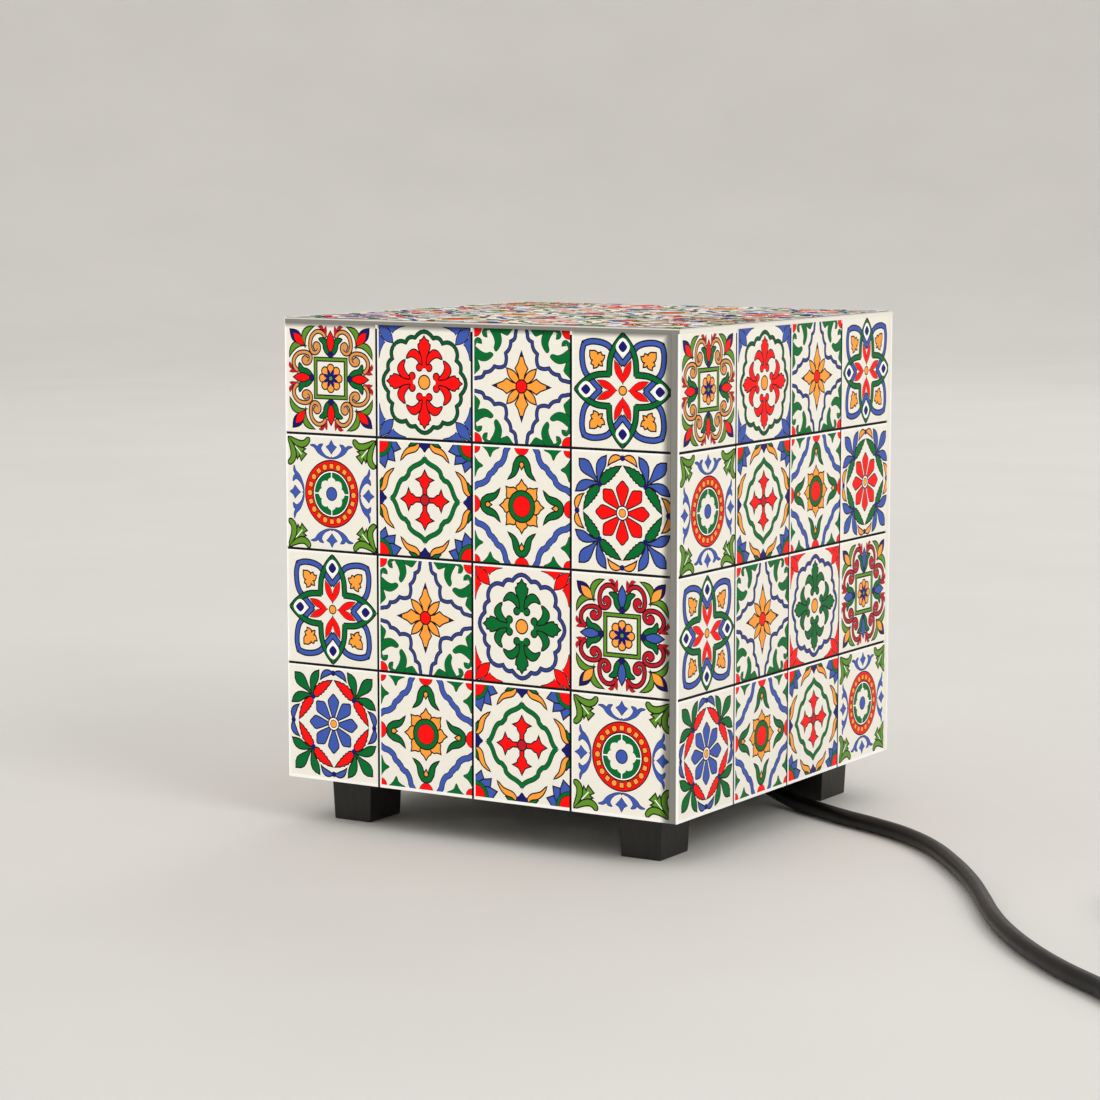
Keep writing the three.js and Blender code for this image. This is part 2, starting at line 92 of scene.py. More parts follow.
def bend_points():
    """The turn on the table top before the inline switch, climbing to it over its second half."""
    points = []
    for i in range(BEND_STEPS + 1):
        angle = radians(BEND_FROM + (BEND_TO - BEND_FROM) * i / BEND_STEPS)
        climb = max(0.0, 2 * i / BEND_STEPS - 1)
        points.append((BEND_CENTRE[0] + BEND_R * cos(angle), BEND_CENTRE[1] + BEND_R * sin(angle),
                       ON_FLOOR + (IN_SWITCH - ON_FLOOR) * climb))
    return points


# the route on the table top, in millimetres, from the strain relief to the start of the coil
CORD_ROUTE = [
    (43.6, 50, 12.3), (49.6, 50, 12.3), (58, 49, 10.2), (70, 45.2, 6.2), (84, 38.8, ON_FLOOR),
    (100, 29.5, ON_FLOOR), (118, 20, ON_FLOOR), (136, 12, ON_FLOOR), (153, 3.2, ON_FLOOR),
    (168, -7.5, ON_FLOOR), (182, -20.5, ON_FLOOR), (196, -37, ON_FLOOR), (210, -55, ON_FLOOR),
    (223, -73.5, ON_FLOOR), (235, -92.5, ON_FLOOR), (247, -112, ON_FLOOR), (260, -131, ON_FLOOR),
    (275, -149.5, ON_FLOOR), (291, -166.5, ON_FLOOR), (308, -182, ON_FLOOR), (326, -196, ON_FLOOR),
    *bend_points(),
    (384.7, -161, IN_SWITCH), (384.7, -144, IN_SWITCH), (384.7, -127, IN_SWITCH),
    (384.7, -110, IN_SWITCH), (384.7, -98, 6.0), (384.7, -87, 5.1),
]
COIL_CENTRE = (339.1, -60.0)
COIL_OUTER, COIL_INNER = 45.6, 38.4
COIL_LOW, COIL_HIGH = 5.1, 12.3
# each turn's radius and height at its start, and those that it ends with
COIL_TURNS = [
    ((COIL_OUTER, COIL_LOW), (COIL_INNER, COIL_LOW)),
    ((COIL_INNER, COIL_LOW), (COIL_INNER, COIL_HIGH)),
    ((COIL_INNER, COIL_HIGH), (COIL_OUTER, COIL_HIGH)),
    ((COIL_OUTER, COIL_HIGH), (COIL_OUTER, COIL_HIGH)),
]
POINTS_A_TURN = 16
CHANGE_FROM = 0.72      # the share of a turn after which it moves over to the next
# the end that leaves the coil and drops into the plug
CORD_TAIL = [
    (384.7, -46.5, 12.2), (384.7, -33, 11.6), (384.7, -26, 9.8), (384.7, -19, 7.8),
    (384.7, -13, 7.15), (384.7, -8.3, 7.15),
]


def coil_points():
    """The coil's turns, which keep to one radius and height and change to the next near their end."""
    points = []
    for (radius, height), (next_radius, next_height) in COIL_TURNS:
        for step in range(POINTS_A_TURN):
            share = step / POINTS_A_TURN
            change = max(0.0, (share - CHANGE_FROM) / (1 - CHANGE_FROM))
            change = change * change * (3 - 2 * change)
            r = radius + (next_radius - radius) * change
            z = height + (next_height - height) * change
            angle = 2 * pi * share
            points.append((COIL_CENTRE[0] + r * cos(angle), COIL_CENTRE[1] + r * sin(angle), z))
    end_radius, end_height = COIL_TURNS[-1][1]
    points.append((COIL_CENTRE[0] + end_radius, COIL_CENTRE[1], end_height))
    return points


def polyline_length(points):
    return sum((Vector(b) - Vector(a)).length for a, b in zip(points, points[1:]))


def add_cord():
    """The whole cord as one curve, in place of its three CAD solids."""
    points = [Vector(p) * MM for p in CORD_ROUTE + coil_points() + CORD_TAIL]
    data = bpy.data.curves.new("cord_sheath", "CURVE")
    data.dimensions = "3D"
    # each knot's radius makes the cord's thickness, because a curve's box is measured with it
    data.bevel_depth = 1.0
    data.bevel_resolution = 5
    data.resolution_u = 6
    data.use_fill_caps = True
    spline = data.splines.new("BEZIER")
    spline.bezier_points.add(len(points) - 1)
    before = [points[0], *points[:-1]]
    after = [*points[1:], points[-1]]
    for knot, last, point, following in zip(spline.bezier_points, before, points, after):
        heading = (following - last).normalized()
        knot.handle_left_type = knot.handle_right_type = "FREE"
        knot.co = point
        knot.handle_left = point - heading * (point - last).length / 3
        knot.handle_right = point + heading * (following - point).length / 3
        knot.radius = CORD_D / 2
    cord = add_object("cord_sheath", data)
    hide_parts("cord_run", "cord_coil", "cord_tail")
    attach(cord, "base")
    return cord


# ------------ outlines for the tile artwork
# A tile's artwork is drawn in its own units: x and y run from -1 to 1 across the printed square.


def circle(radius, x=0.0, y=0.0, sides=28):
    angles = [2 * pi * i / sides for i in range(sides)]
    return [(x + radius * cos(angle), y + radius * sin(angle)) for angle in angles]


def rectangle(left, bottom, right, top):
    return [(left, bottom), (right, bottom), (right, top), (left, top)]


def ribbon(spine, halves):
    """The outline of a stroke along spine, halves[i] wide on either side of point i."""
    left, right = [], []
    last = len(spine) - 1
    for i, ((x, y), half) in enumerate(zip(spine, halves)):
        ax, ay = spine[max(i - 1, 0)]
        bx, by = spine[min(i + 1, last)]
        length = hypot(bx - ax, by - ay)
        nx, ny = (ay - by) / length, (bx - ax) / length
        left.append((x + nx * half, y + ny * half))
        right.append((x - nx * half, y - ny * half))
    return right + left[::-1]


def band(path, width):
    return ribbon(path, [width / 2] * len(path))


def blend(a, b, c, d, t):
    """One coordinate of a Catmull-Rom curve, the share t of the way from b to c."""
    square = (2 * a - 5 * b + 4 * c - d) * t * t
    cube = (3 * b - a - 3 * c + d) * t ** 3
    return 0.5 * (2 * b + (c - a) * t + square + cube)


def smooth(points, steps=5):
    """A Catmull-Rom curve through an open row of points."""
    padded = [points[0], *points, points[-1]]
    curve = []
    for p0, p1, p2, p3 in zip(padded, padded[1:], padded[2:], padded[3:]):
        for i in range(steps):
            curve.append(tuple(blend(*row, i / steps) for row in zip(p0, p1, p2, p3)))
    curve.append(points[-1])
    return curve


def rounded(points, steps=4):
    """A closed Catmull-Rom curve through a ring of points."""
    ring = [points[-1], *points, points[0], points[1]]
    return smooth(ring, steps)[steps:-steps - 1]


def leaf(base, tip, width, bend=0.0, fat=0.5, steps=8):
    """A leaf from base to tip. bend bows it to the left, and fat says where along it is widest."""
    (bx, by), (tx, ty) = base, tip
    length = hypot(tx - bx, ty - by)
    nx, ny = (by - ty) / length, (tx - bx) / length
    power = log(0.5) / log(fat)
    spine, halves = [], []
    for i in range(steps + 1):
        t = i / steps
        bow = 4 * bend * t * (1 - t)
        spine.append((bx + (tx - bx) * t + nx * bow, by + (ty - by) * t + ny * bow))
        halves.append(width / 2 * max(0.0, sin(pi * t ** power)))
    return ribbon(spine, halves)


def scallop(nodes, bulges, steps=6):
    """A row of bows between nodes, each as deep as its bulge, to the left of the way it runs."""
    path = []
    for (ax, ay), (bx, by), bulge in zip(nodes, nodes[1:], bulges):
        length = hypot(bx - ax, by - ay)
        nx, ny = (ay - by) / length, (bx - ax) / length
        for i in range(steps):
            t = i / steps
            bow = 4 * bulge * t * (1 - t)
            path.append((ax + (bx - ax) * t + nx * bow, ay + (by - ay) * t + ny * bow))
    return path + [nodes[-1]]


def mirrored(points):
    return [(-x, y) for x, y in points]


def swapped(points):
    """The image in the diagonal."""
    return [(y, x) for x, y in points]


def both(points):
    """The right half of a shape about the y axis, made whole; it starts and ends on the axis."""
    return points + mirrored(points)[-2:0:-1]


def turned(points, degrees):
    c, s = cos(radians(degrees)), sin(radians(degrees))
    return [(x * c - y * s, x * s + y * c) for x, y in points]


SAME_POINT = 1e-4       # how close two points are when one of them is dropped


def distance(p, q):
    return hypot(p[0] - q[0], p[1] - q[1])


def tidy(points):
    """The outline counter-clockwise, without points on top of each other."""
    kept = [p for i, p in enumerate(points) if distance(p, points[i - 1]) > SAME_POINT]
    area = sum(a[0] * b[1] - b[0] * a[1] for a, b in zip(kept, kept[1:] + kept[:1]))
    return kept if area > 0 else kept[::-1]


def grown(points, margin):
    """The outline moved outward by margin, with its sharp corners cut short."""
    ring = tidy(points)
    moved = []
    for i, (x, y) in enumerate(ring):
        ax, ay = ring[i - 1]
        bx, by = ring[(i + 1) % len(ring)]
        e0, e1 = hypot(x - ax, y - ay), hypot(bx - x, by - y)
        n0 = ((y - ay) / e0, (ax - x) / e0)
        n1 = ((by - y) / e1, (x - bx) / e1)
        mx, my = n0[0] + n1[0], n0[1] + n1[1]
        size = max(mx * mx + my * my, 0.5)
        moved.append((x + 2 * margin * mx / size, y + 2 * margin * my / size))
    return moved


INK_WEIGHT = 1.55       # times the width of every line round a shape


class Artwork:
    """The layers of one tile's print, from the lowest to the topmost."""

    LINE = 0.016

    def __init__(self):
        self.layers = []

    def paint(self, colour, shapes, line=LINE, line_colour="ink"):
        """Fill shapes, over a line of the given width that shows round them."""
        line *= INK_WEIGHT
        if line:
            self.layers += [(line_colour, tidy(grown(shape, line))) for shape in shapes]
        self.layers += [(colour, tidy(shape)) for shape in shapes]

    def centre(self, colour, shape, line=LINE):
        self.paint(colour, [shape], line)

    def four(self, colour, shape, line=LINE, line_colour="ink"):
        """The shape at the four quarter turns."""
        self.paint(colour, [turned(shape, 90 * k) for k in range(4)], line, line_colour)

    def shrink(self, share):
        """Draw the whole print smaller, about the tile's middle."""
        self.layers = [
            (colour, [(x * share, y * share) for x, y in shape])
            for colour, shape in self.layers
        ]

    def eight(self, colour, shape, line=LINE):
        """The shape and its mirror image at the four quarter turns."""
        images = [shape, mirrored(shape)]
        self.paint(colour, [turned(s, 90 * k) for k in range(4) for s in images], line)


# ------------ the tiles' motifs


def fleur_tile(fleurs, ring, corners):
    """Four fleurs-de-lis in a scalloped ring, with leaf sprays in the corners."""
    art = Artwork()
    horn = [(1.05, 1.05), (0.42, 1.05), (0.42, 0.995), (0.54, 0.965), (0.66, 0.9), (0.7, 0.85),
            (0.8, 0.97)]
    art.eight(corners, horn, 0.01)
    art.eight("ground", leaf((0.66, 0.8), (0.92, 0.975), 0.055, fat=0.3), 0)
    art.four(corners, leaf((1.0, 1.0), (0.69, 0.69), 0.19, fat=0.55), 0.012)
    quarter = scallop([
        (0.2, 0.785), (0.4, 0.695), (0.645, 0.655), (0.655, 0.645), (0.695, 0.4), (0.785, 0.2),
        (0.785, -0.2),
    ], [0.05, 0.042, 0, 0.042, 0.05, 0.115])
    art.four(ring, band(quarter, 0.05), 0.01)
    head = both([(0, 0.3), (0.03, 0.33), (0.05, 0.46), (0.115, 0.6), (0.122, 0.66), (0.082, 0.69),
                 (0.082, 0.735), (0.035, 0.75), (0, 0.8)])
    art.eight(fleurs, rounded([
        (0.0, 0.3), (0.05, 0.41), (0.11, 0.505), (0.19, 0.565), (0.27, 0.56), (0.335, 0.505),
        (0.375, 0.43), (0.295, 0.455), (0.215, 0.44), (0.14, 0.39), (0.08, 0.32), (0.03, 0.27),
    ]))
    art.four(fleurs, head)
    art.eight(fleurs, circle(0.053, 0.105, 0.262, 14))
    art.eight(fleurs, band([(0.0, 0.33), (0.05, 0.25), (0.09, 0.235)], 0.05), 0)
    art.centre("orange", circle(0.112), 0.016)
    return art


def star_tile():
    """An eight-petalled star in a wavy frame, with acanthus scrolls in the corners."""
    art = Artwork()
    wave = scallop([
        (0.115, 1.06), (0.125, 0.91), (0.225, 0.78), (0.335, 0.57), (0.35, 0.35), (0.57, 0.335),
        (0.78, 0.225), (0.91, 0.125), (1.06, 0.115),
    ], [-0.01, -0.035, -0.035, -0.025, -0.025, -0.035, -0.035, -0.01])
    art.four("steel_blue", band(wave, 0.044), 0.01)
    spray = rounded([(0.71, 1.04), (0.46, 1.05), (0.19, 1.03), (0.22, 0.96), (0.29, 0.885), (0.36, 0.9),
                     (0.44, 0.93), (0.55, 0.965)])
    art.eight("green", spray, 0.006)
    art.eight("green", rounded([
        (0.63, 1.02), (0.5, 1.0), (0.44, 0.9), (0.42, 0.79), (0.45, 0.69), (0.53, 0.6), (0.575, 0.65),
        (0.555, 0.75), (0.59, 0.86), (0.66, 0.97),
    ]), 0.006)
    art.eight("green", ribbon(smooth([
        (0.66, 1.0), (0.735, 0.985), (0.79, 0.93), (0.77, 0.885), (0.73, 0.885),
    ]), [0.02 + 0.0012 * i for i in range(21)]), 0.006)
    art.four("red", circle(0.135, 0.985, 0.985), 0.008)
    art.four("orange", leaf((0, 0), (0.295, 0.295), 0.13, fat=0.6))
    art.four("orange", leaf((0, 0), (-0.295, 0.295), 0.13, fat=0.6), 0)
    diamond = [
        (0.0, 0.04), (0.04, 0.12), (0.055, 0.2), (0.12, 0.31), (0.065, 0.39), (0.03, 0.49), (0.0, 0.57),
    ]
    art.four("orange", both(diamond))
    art.four("navy", both([(0.0, 0.515), (0.02, 0.525), (0.0, 0.58)]), 0.006)
    art.centre("red", circle(0.102))
    return art


def quatrefoil_tile():
    """A pointed green quatrefoil woven with a blue band, around four red hearts."""
    art = Artwork()
    square = smooth([(0.0, 0.455), (0.1, 0.565), (0.205, 0.675), (0.3, 0.765), (0.45, 0.815),
                     (0.64, 0.825), (0.785, 0.785)], 3)
    art.eight("blue", band(square, 0.072))
    art.eight("green", band(smooth([
        (0.0, 0.93), (0.1, 0.83), (0.2, 0.68), (0.255, 0.53), (0.27, 0.4), (0.275, 0.275),
    ], 3), 0.075))
    art.four("green", rectangle(0.235, 0.235, 0.315, 0.315), 0)
    art.four("green", both([(0.0, 0.88), (0.045, 0.905), (0.0, 0.985)]), 0.008)
    art.four("navy", rounded(both([
        (0.0, 0.655), (0.055, 0.69), (0.088, 0.745), (0.055, 0.8), (0.0, 0.845),
    ])), 0.034, "white")
    art.eight("red", leaf((0.0, 0.13), (0.16, 0.505), 0.118, fat=0.54), 0.008)
    art.four("red", [(-0.02, 0.14), (0.02, 0.14), (0.035, 0.22), (0.0, 0.26), (-0.035, 0.22)], 0)
    fleur = both([
        (0.0, 0.597), (0.021, 0.622), (0.026, 0.678), (0.069, 0.646), (0.112, 0.657), (0.144, 0.678),
        (0.112, 0.713), (0.129, 0.764), (0.095, 0.782), (0.06, 0.773), (0.077, 0.825), (0.062, 0.868),
        (0.0, 0.928),
    ])
    art.four("orange", turned(fleur, 45))
    art.centre("orange", circle(0.066), 0.014)
    return art


def scroll_tile(scrolls, buds, corner_buds):
    """A framed flower with tulips on the axes, pairs of scrolls and corner buds."""
    art = Artwork()
    coil = smooth([
        (0.125, 0.775), (0.175, 0.84), (0.25, 0.875), (0.345, 0.865), (0.435, 0.79), (0.475, 0.68),
        (0.47, 0.55), (0.41, 0.475), (0.33, 0.48), (0.275, 0.54), (0.28, 0.615), (0.335, 0.645),
        (0.375, 0.605), (0.355, 0.565),
    ])
    art.eight(scrolls, band(coil, 0.05))
    art.eight(scrolls, circle(0.04, 0.335, 0.578, 12), 0)
    art.eight("crimson", leaf((0.08, 0.78), (0.1, 0.975), 0.062, -0.028, 0.6), 0.005)
    art.eight("crimson", leaf((0.15, 0.885), (0.285, 0.965), 0.062, 0.028, 0.6), 0.005)
    art.eight("olive", leaf((0.6, 0.575), (0.405, 0.965), 0.1, -0.12, 0.55))
    art.four("navy", leaf((0.61, 0.63), (0.895, 0.945), 0.185, fat=0.58))
    art.four(corner_buds, leaf((0.615, 0.635), (0.835, 0.875), 0.15, fat=0.5), 0.006)
    sepal = rounded([(0.0, 0.42), (0.1, 0.475), (0.155, 0.56), (0.175, 0.65), (0.26, 0.735),
                     (0.16, 0.745), (0.085, 0.7), (0.045, 0.6)])
    art.eight("green", sepal)
    art.four(buds, leaf((0, 0.45), (0, 0.865), 0.15, fat=0.56))
    art.four("navy", rounded(both([(0.0, 0.355), (0.03, 0.4), (0.065, 0.445), (0.0, 0.505)])), 0.008)
    for size, colour in ((0.402, "ink"), (0.38, "olive"), (0.334, "ink"), (0.308, "ground")):
        art.centre(colour, rectangle(-size, -size, size, size), 0)
    petal = rounded(both([(0.0, 0.1), (0.045, 0.145), (0.066, 0.195), (0.045, 0.24), (0.0, 0.255)]), 3)
    for k in range(8):
        art.centre("orange", turned(petal, 45 * k))
    for k in range(8):
        art.centre("navy", turned(leaf((0, 0.02), (0, 0.205), 0.075, fat=0.45, steps=5), 45 * k + 22.5), 0)
    art.centre("navy", circle(0.098, sides=20), 0)
    art.centre("olive", circle(0.036, sides=14), 0)
    art.shrink(0.96)
    return art


def wheel_tile():
    """A beaded red wheel with a white rose in it, crowns on the axes and corner acanthus."""
    art = Artwork()
    art.centre("red", circle(0.585, sides=64))
    art.centre("white", circle(0.405, sides=48))
    art.centre("green", circle(0.372, sides=48), 0.008)
    for k in range(20):
        angle = 18 * k
        bead = circle(0.05, 0.0, 0.495, 12) if k % 2 else rectangle(-0.04, 0.455, 0.04, 0.535)
        art.centre("orange", turned(bead, angle), 0.01)
    petal = rounded(both([(0.0, 0.08), (0.075, 0.17), (0.088, 0.235), (0.05, 0.275), (0.0, 0.295)]), 3)
    for k in range(8):
        art.centre("ground", turned(petal, 45 * k), 0)
    art.centre("ground", circle(0.19), 0)
    art.four("white", rectangle(-0.011, 0.27, 0.011, 0.385), 0)
    art.centre("blue", circle(0.108), 0.012)
    gem = both([(0.0, 0.715), (0.045, 0.77), (0.115, 0.84), (0.05, 0.875), (0.0, 0.955)])
    art.four("blue", gem, 0.006)
    crown = rounded([
        (0.015, 0.63), (0.11, 0.636), (0.2, 0.668), (0.275, 0.705), (0.335, 0.755), (0.385, 0.815),
        (0.475, 0.855), (0.385, 0.866), (0.315, 0.835), (0.275, 0.872), (0.195, 0.88), (0.235, 0.815),
        (0.205, 0.745), (0.135, 0.682), (0.06, 0.654),
    ])
    art.eight("blue", crown, 0.006)
    art.four("blue", circle(0.018, 0.0, 0.645, 8), 0.004)
    half_leaf = [(0.97, 0.97), (0.915, 0.86), (0.875, 0.69), (0.82, 0.755), (0.775, 0.615), (0.73, 0.68),
                 (0.685, 0.585), (0.635, 0.635)]
    art.four("olive", half_leaf + swapped(half_leaf)[-2:0:-1])
    art.four("white", band([(0.94, 0.94), (0.68, 0.68)], 0.02), 0)
    art.eight("olive", rounded([
        (0.965, 0.985), (0.84, 0.945), (0.72, 0.915), (0.62, 0.92), (0.53, 0.985), (0.5, 0.93),
        (0.57, 0.845), (0.68, 0.815), (0.8, 0.845), (0.9, 0.915),
    ]))
    return art


def cross_tile():
    """A red cross fleury in a green medallion, with rosettes in the corners."""
    art = Artwork()
    octant = [(0.0, 0.725), (0.045, 0.675), (0.13, 0.625), (0.245, 0.575), (0.335, 0.505), (0.36, 0.43),
              (0.395, 0.395)]
    medallion = smooth(octant + swapped(octant)[-2::-1], 3)
    art.four("green", band(medallion, 0.07), 0.008)
    art.four("green", both([(0.0, 0.67), (0.055, 0.685), (0.02, 0.73), (0.0, 0.795)]), 0)
    head = both([(0.0, 0.0), (0.032, 0.05), (0.03, 0.2), (0.085, 0.275), (0.085, 0.315), (0.165, 0.355),
                 (0.085, 0.385), (0.045, 0.42), (0.0, 0.5)])
    art.four("red", head)
    art.centre("crimson", circle(0.085))
    art.eight("green", leaf((0.1, 1.03), (0.33, 0.94), 0.13, -0.02))
    flame = smooth([(0.1, 1.0), (0.2, 0.9), (0.32, 0.865), (0.42, 0.81), (0.51, 0.7)], 4)
    halves = [0.0, 0.012, 0.024, 0.032, 0.038, 0.042, 0.045, 0.045, 0.044, 0.041, 0.037, 0.032, 0.026,
              0.02, 0.014, 0.008, 0.0]
    art.eight("orange", ribbon(flame, halves))
    art.four("navy", rounded(both([
        (0.0, 0.845), (0.05, 0.9), (0.115, 0.955), (0.1, 1.05), (0.0, 1.08),
    ])), 0.008)
    bud = [(0, -0.1), (0.125, -0.24), (0.095, -0.34), (0, -0.47), (-0.095, -0.34), (-0.125, -0.24)]
    for angle in (15, 45, 75):
        art.four("blue", [(x + 1, y + 1) for x, y in turned(bud, -angle)])
    art.four("green", circle(0.275, 1.0, 1.0, 32), 0.008)
    art.four("red", circle(0.205, 1.0, 1.0, 28), 0.008)
    return art


def sunflower_tile():
    """A sunflower with tulips on the axes, between wavy blue bands and leafy corners."""
    art = Artwork()
    wave = scallop([
        (0.24, 1.08), (0.34, 0.93), (0.44, 0.715), (0.565, 0.61), (0.61, 0.565), (0.715, 0.44),
        (0.93, 0.34), (1.08, 0.24),
    ], [0, -0.022, 0.022, 0.004, 0.022, -0.022, 0], 5)
    art.four("blue", band(wave, 0.088), 0.01)
    spray = rounded([(0.9, 1.05), (0.62, 1.06), (0.47, 1.0), (0.56, 0.955), (0.62, 0.91), (0.665, 0.825),
                     (0.72, 0.91), (0.8, 0.985)])
    art.eight("green", spray, 0.006)
    art.four("red", circle(0.115, 1.0, 1.0, 20), 0.008)
    petal = both([(0.0, 0.18), (0.1, 0.22), (0.12, 0.29), (0.098, 0.345), (0.04, 0.385), (0.0, 0.445)])
    for k in range(8):
        art.centre("orange", turned(petal, 45 * k))
    art.centre("green", circle(0.262, sides=36))
    art.centre("red", circle(0.176, sides=30), 0.008)
    arm = smooth([
        (0.0, 0.825), (0.065, 0.8), (0.105, 0.735), (0.13, 0.64), (0.175, 0.55), (0.265, 0.475),
    ], 3)
    art.four("orange", both([(0.0, 0.655), (0.03, 0.7), (0.055, 0.71), (0.05, 0.79), (0.0, 0.83)]))
    halves = [0.042] * 6 + [0.048, 0.052, 0.052, 0.05, 0.044, 0.038, 0.03, 0.02, 0.01, 0.0]
    art.eight("green", ribbon(arm, halves))
    art.four("red", circle(0.145, 0.0, 1.03, 22), 0.008)
    return art


def daisy_tile(petals, leaves, sprays, crescents):
    """A daisy in a ring of eight leaves, with leaf sprays in the corners."""
    art = Artwork()
    art.four(sprays, leaf((0.47, 0.46), (0.87, 0.87), 0.2, 0.0, 0.72))
    art.eight(sprays, leaf((0.475, 0.455), (0.34, 0.94), 0.15, -0.06, 0.68))
    blade = ribbon(smooth([
        (0.43, 0.48), (0.335, 0.59), (0.205, 0.685), (0.055, 0.775),
    ], 4), [0.0, 0.04, 0.062, 0.056, 0.082, 0.064, 0.08, 0.056, 0.066, 0.04, 0.036, 0.014, 0.0])
    art.eight(leaves, blade)
    art.four("navy", circle(0.05, 0.465, 0.46, 12), 0)
    art.eight(crescents, leaf((0.02, 0.925), (0.275, 0.815), 0.088, 0.05, 0.5))
    art.four("navy", circle(0.052, 0.0, 0.925, 12), 0)
    petal = rounded(both([
        (0.0, 0.11), (0.045, 0.2), (0.1, 0.35), (0.108, 0.42), (0.065, 0.47), (0.0, 0.53),
    ]), 3)
    for k in range(8):
        art.centre(petals, turned(petal, 45 * k), 0.014)
    for colour, radius in (("ink", 0.132), ("white", 0.108), ("ink", 0.078), ("orange", 0.064)):
        art.centre(colour, circle(radius, sides=20), 0)
    return art


def motifs():
    """The eleven prints, by the letter that the layout gives them."""
    return {
        "A": fleur_tile("red", "dark_green", "blue"),
        "a": fleur_tile("green", "steel_blue", "red"),
        "B": star_tile(),
        "C": quatrefoil_tile(),
        "D": scroll_tile("ochre", "red", "red"),
        "d": scroll_tile("crimson", "blue", "orange"),
        "E": wheel_tile(),
        "F": cross_tile(),
        "G": sunflower_tile(),
        "H": daisy_tile("red", "green", "blue", "orange"),
        "h": daisy_tile("blue", "red", "green", "blue"),
    }


# the four rows of every face, from the top one down
LAYOUT = ["DABC", "EFGH", "CBad", "hGFE"]


# ------------ materials

PRINT = {
    "ground": (240, 236, 225), "white": (252, 251, 247), "ink": (26, 20, 20), "red": (255, 10, 10),
    "crimson": (196, 22, 40), "green": (0, 108, 48), "dark_green": (6, 86, 48), "olive": (96, 148, 42),
    "blue": (64, 90, 176), "steel_blue": (52, 66, 138), "navy": (24, 22, 104), "orange": (255, 163, 62),
    "ochre": (224, 150, 82),
}


def linear(srgb):
    channels = (c / 255 for c in srgb)
    return tuple(c / 12.92 if c <= 0.04045 else ((c + 0.055) / 1.055) ** 2.4 for c in channels)


def node_material(name):
    material = bpy.data.materials.new(name)
    material.use_nodes = True
    tree = material.node_tree
    return material, tree, tree.nodes["Principled BSDF"]


def noise(tree, scale, detail=3.0, stretch=(1, 1, 1)):
    """A noise texture in the object's own metres."""
    place = tree.nodes.new("ShaderNodeTexCoord")
    mapping = tree.nodes.new("ShaderNodeMapping")
    mapping.inputs["Scale"].default_value = stretch
    texture = tree.nodes.new("ShaderNodeTexNoise")
    texture.inputs["Scale"].default_value = scale
    texture.inputs["Detail"].default_value = detail
    tree.links.new(place.outputs["Object"], mapping.inputs["Vector"])
    tree.links.new(mapping.outputs["Vector"], texture.inputs["Vector"])
    return texture


def vary_roughness(tree, shader, texture, low, high):
    """Let the texture move the roughness between low and high."""
    spread = tree.nodes.new("ShaderNodeMapRange")
    spread.inputs["To Min"].default_value = low
    spread.inputs["To Max"].default_value = high
    tree.links.new(texture.outputs["Fac"], spread.inputs["Value"])
    tree.links.new(spread.outputs["Result"], shader.inputs["Roughness"])


def bump(tree, shader, texture, strength, distance):
    """Let the texture raise the surface by up to distance, in metres."""
    node = tree.nodes.new("ShaderNodeBump")
    node.inputs["Strength"].default_value = strength
    node.inputs["Distance"].default_value = distance
    tree.links.new(texture.outputs["Fac"], node.inputs["Height"])
    tree.links.new(node.outputs["Normal"], shader.inputs["Normal"])


MOTTLE_FROM, MOTTLE_TO = 0.3, 0.7


def mottle(tree, shader, texture, dark, light):
    """Let the texture blend the base colour from dark to light."""
    ramp = tree.nodes.new("ShaderNodeValToRGB")
    ramp.color_ramp.elements[0].position = MOTTLE_FROM
    ramp.color_ramp.elements[1].position = MOTTLE_TO
    ramp.color_ramp.elements[0].color = (*linear(dark), 1)
    ramp.color_ramp.elements[1].color = (*linear(light), 1)
    tree.links.new(texture.outputs["Fac"], ramp.inputs["Fac"])
    tree.links.new(ramp.outputs["Color"], shader.inputs["Base Color"])


GLAZE_SPECULAR = 0.10
GLAZE_ROUGHNESS = (0.24, 0.38)
GLAZE_PATCHES, GLAZE_RIPPLES = 160, 420     # how fine the noises of its roughness and its relief are
RIPPLE_STRENGTH, RIPPLE_HEIGHT = 0.12, 0.0002
GLAZES = {}


def glaze(colour, shade, glow, specular=GLAZE_SPECULAR):
    """One printed colour under the tiles' glaze. shade darkens it, and glow is how much of it comes through
    from the bulb behind."""
    key = (colour, shade, glow, specular)
    if key not in GLAZES:
        look = "_".join(str(round(100 * value)) for value in key[1:])
        material, tree, shader = node_material(f"glaze_{colour}_{look}")
        tint = tuple(c * shade for c in linear(PRINT[colour]))
        shader.inputs["Base Color"].default_value = (*tint, 1)
        shader.inputs["Emission Color"].default_value = (*tint, 1)
        shader.inputs["Emission Strength"].default_value = glow
        shader.inputs["Specular IOR Level"].default_value = specular
        vary_roughness(tree, shader, noise(tree, GLAZE_PATCHES), *GLAZE_ROUGHNESS)
        bump(tree, shader, noise(tree, GLAZE_RIPPLES), RIPPLE_STRENGTH, RIPPLE_HEIGHT)
        GLAZES[key] = material
    return GLAZES[key]


ROUGHNESS_SPREAD = 0.07
GRAIN_HEIGHT = 0.0003


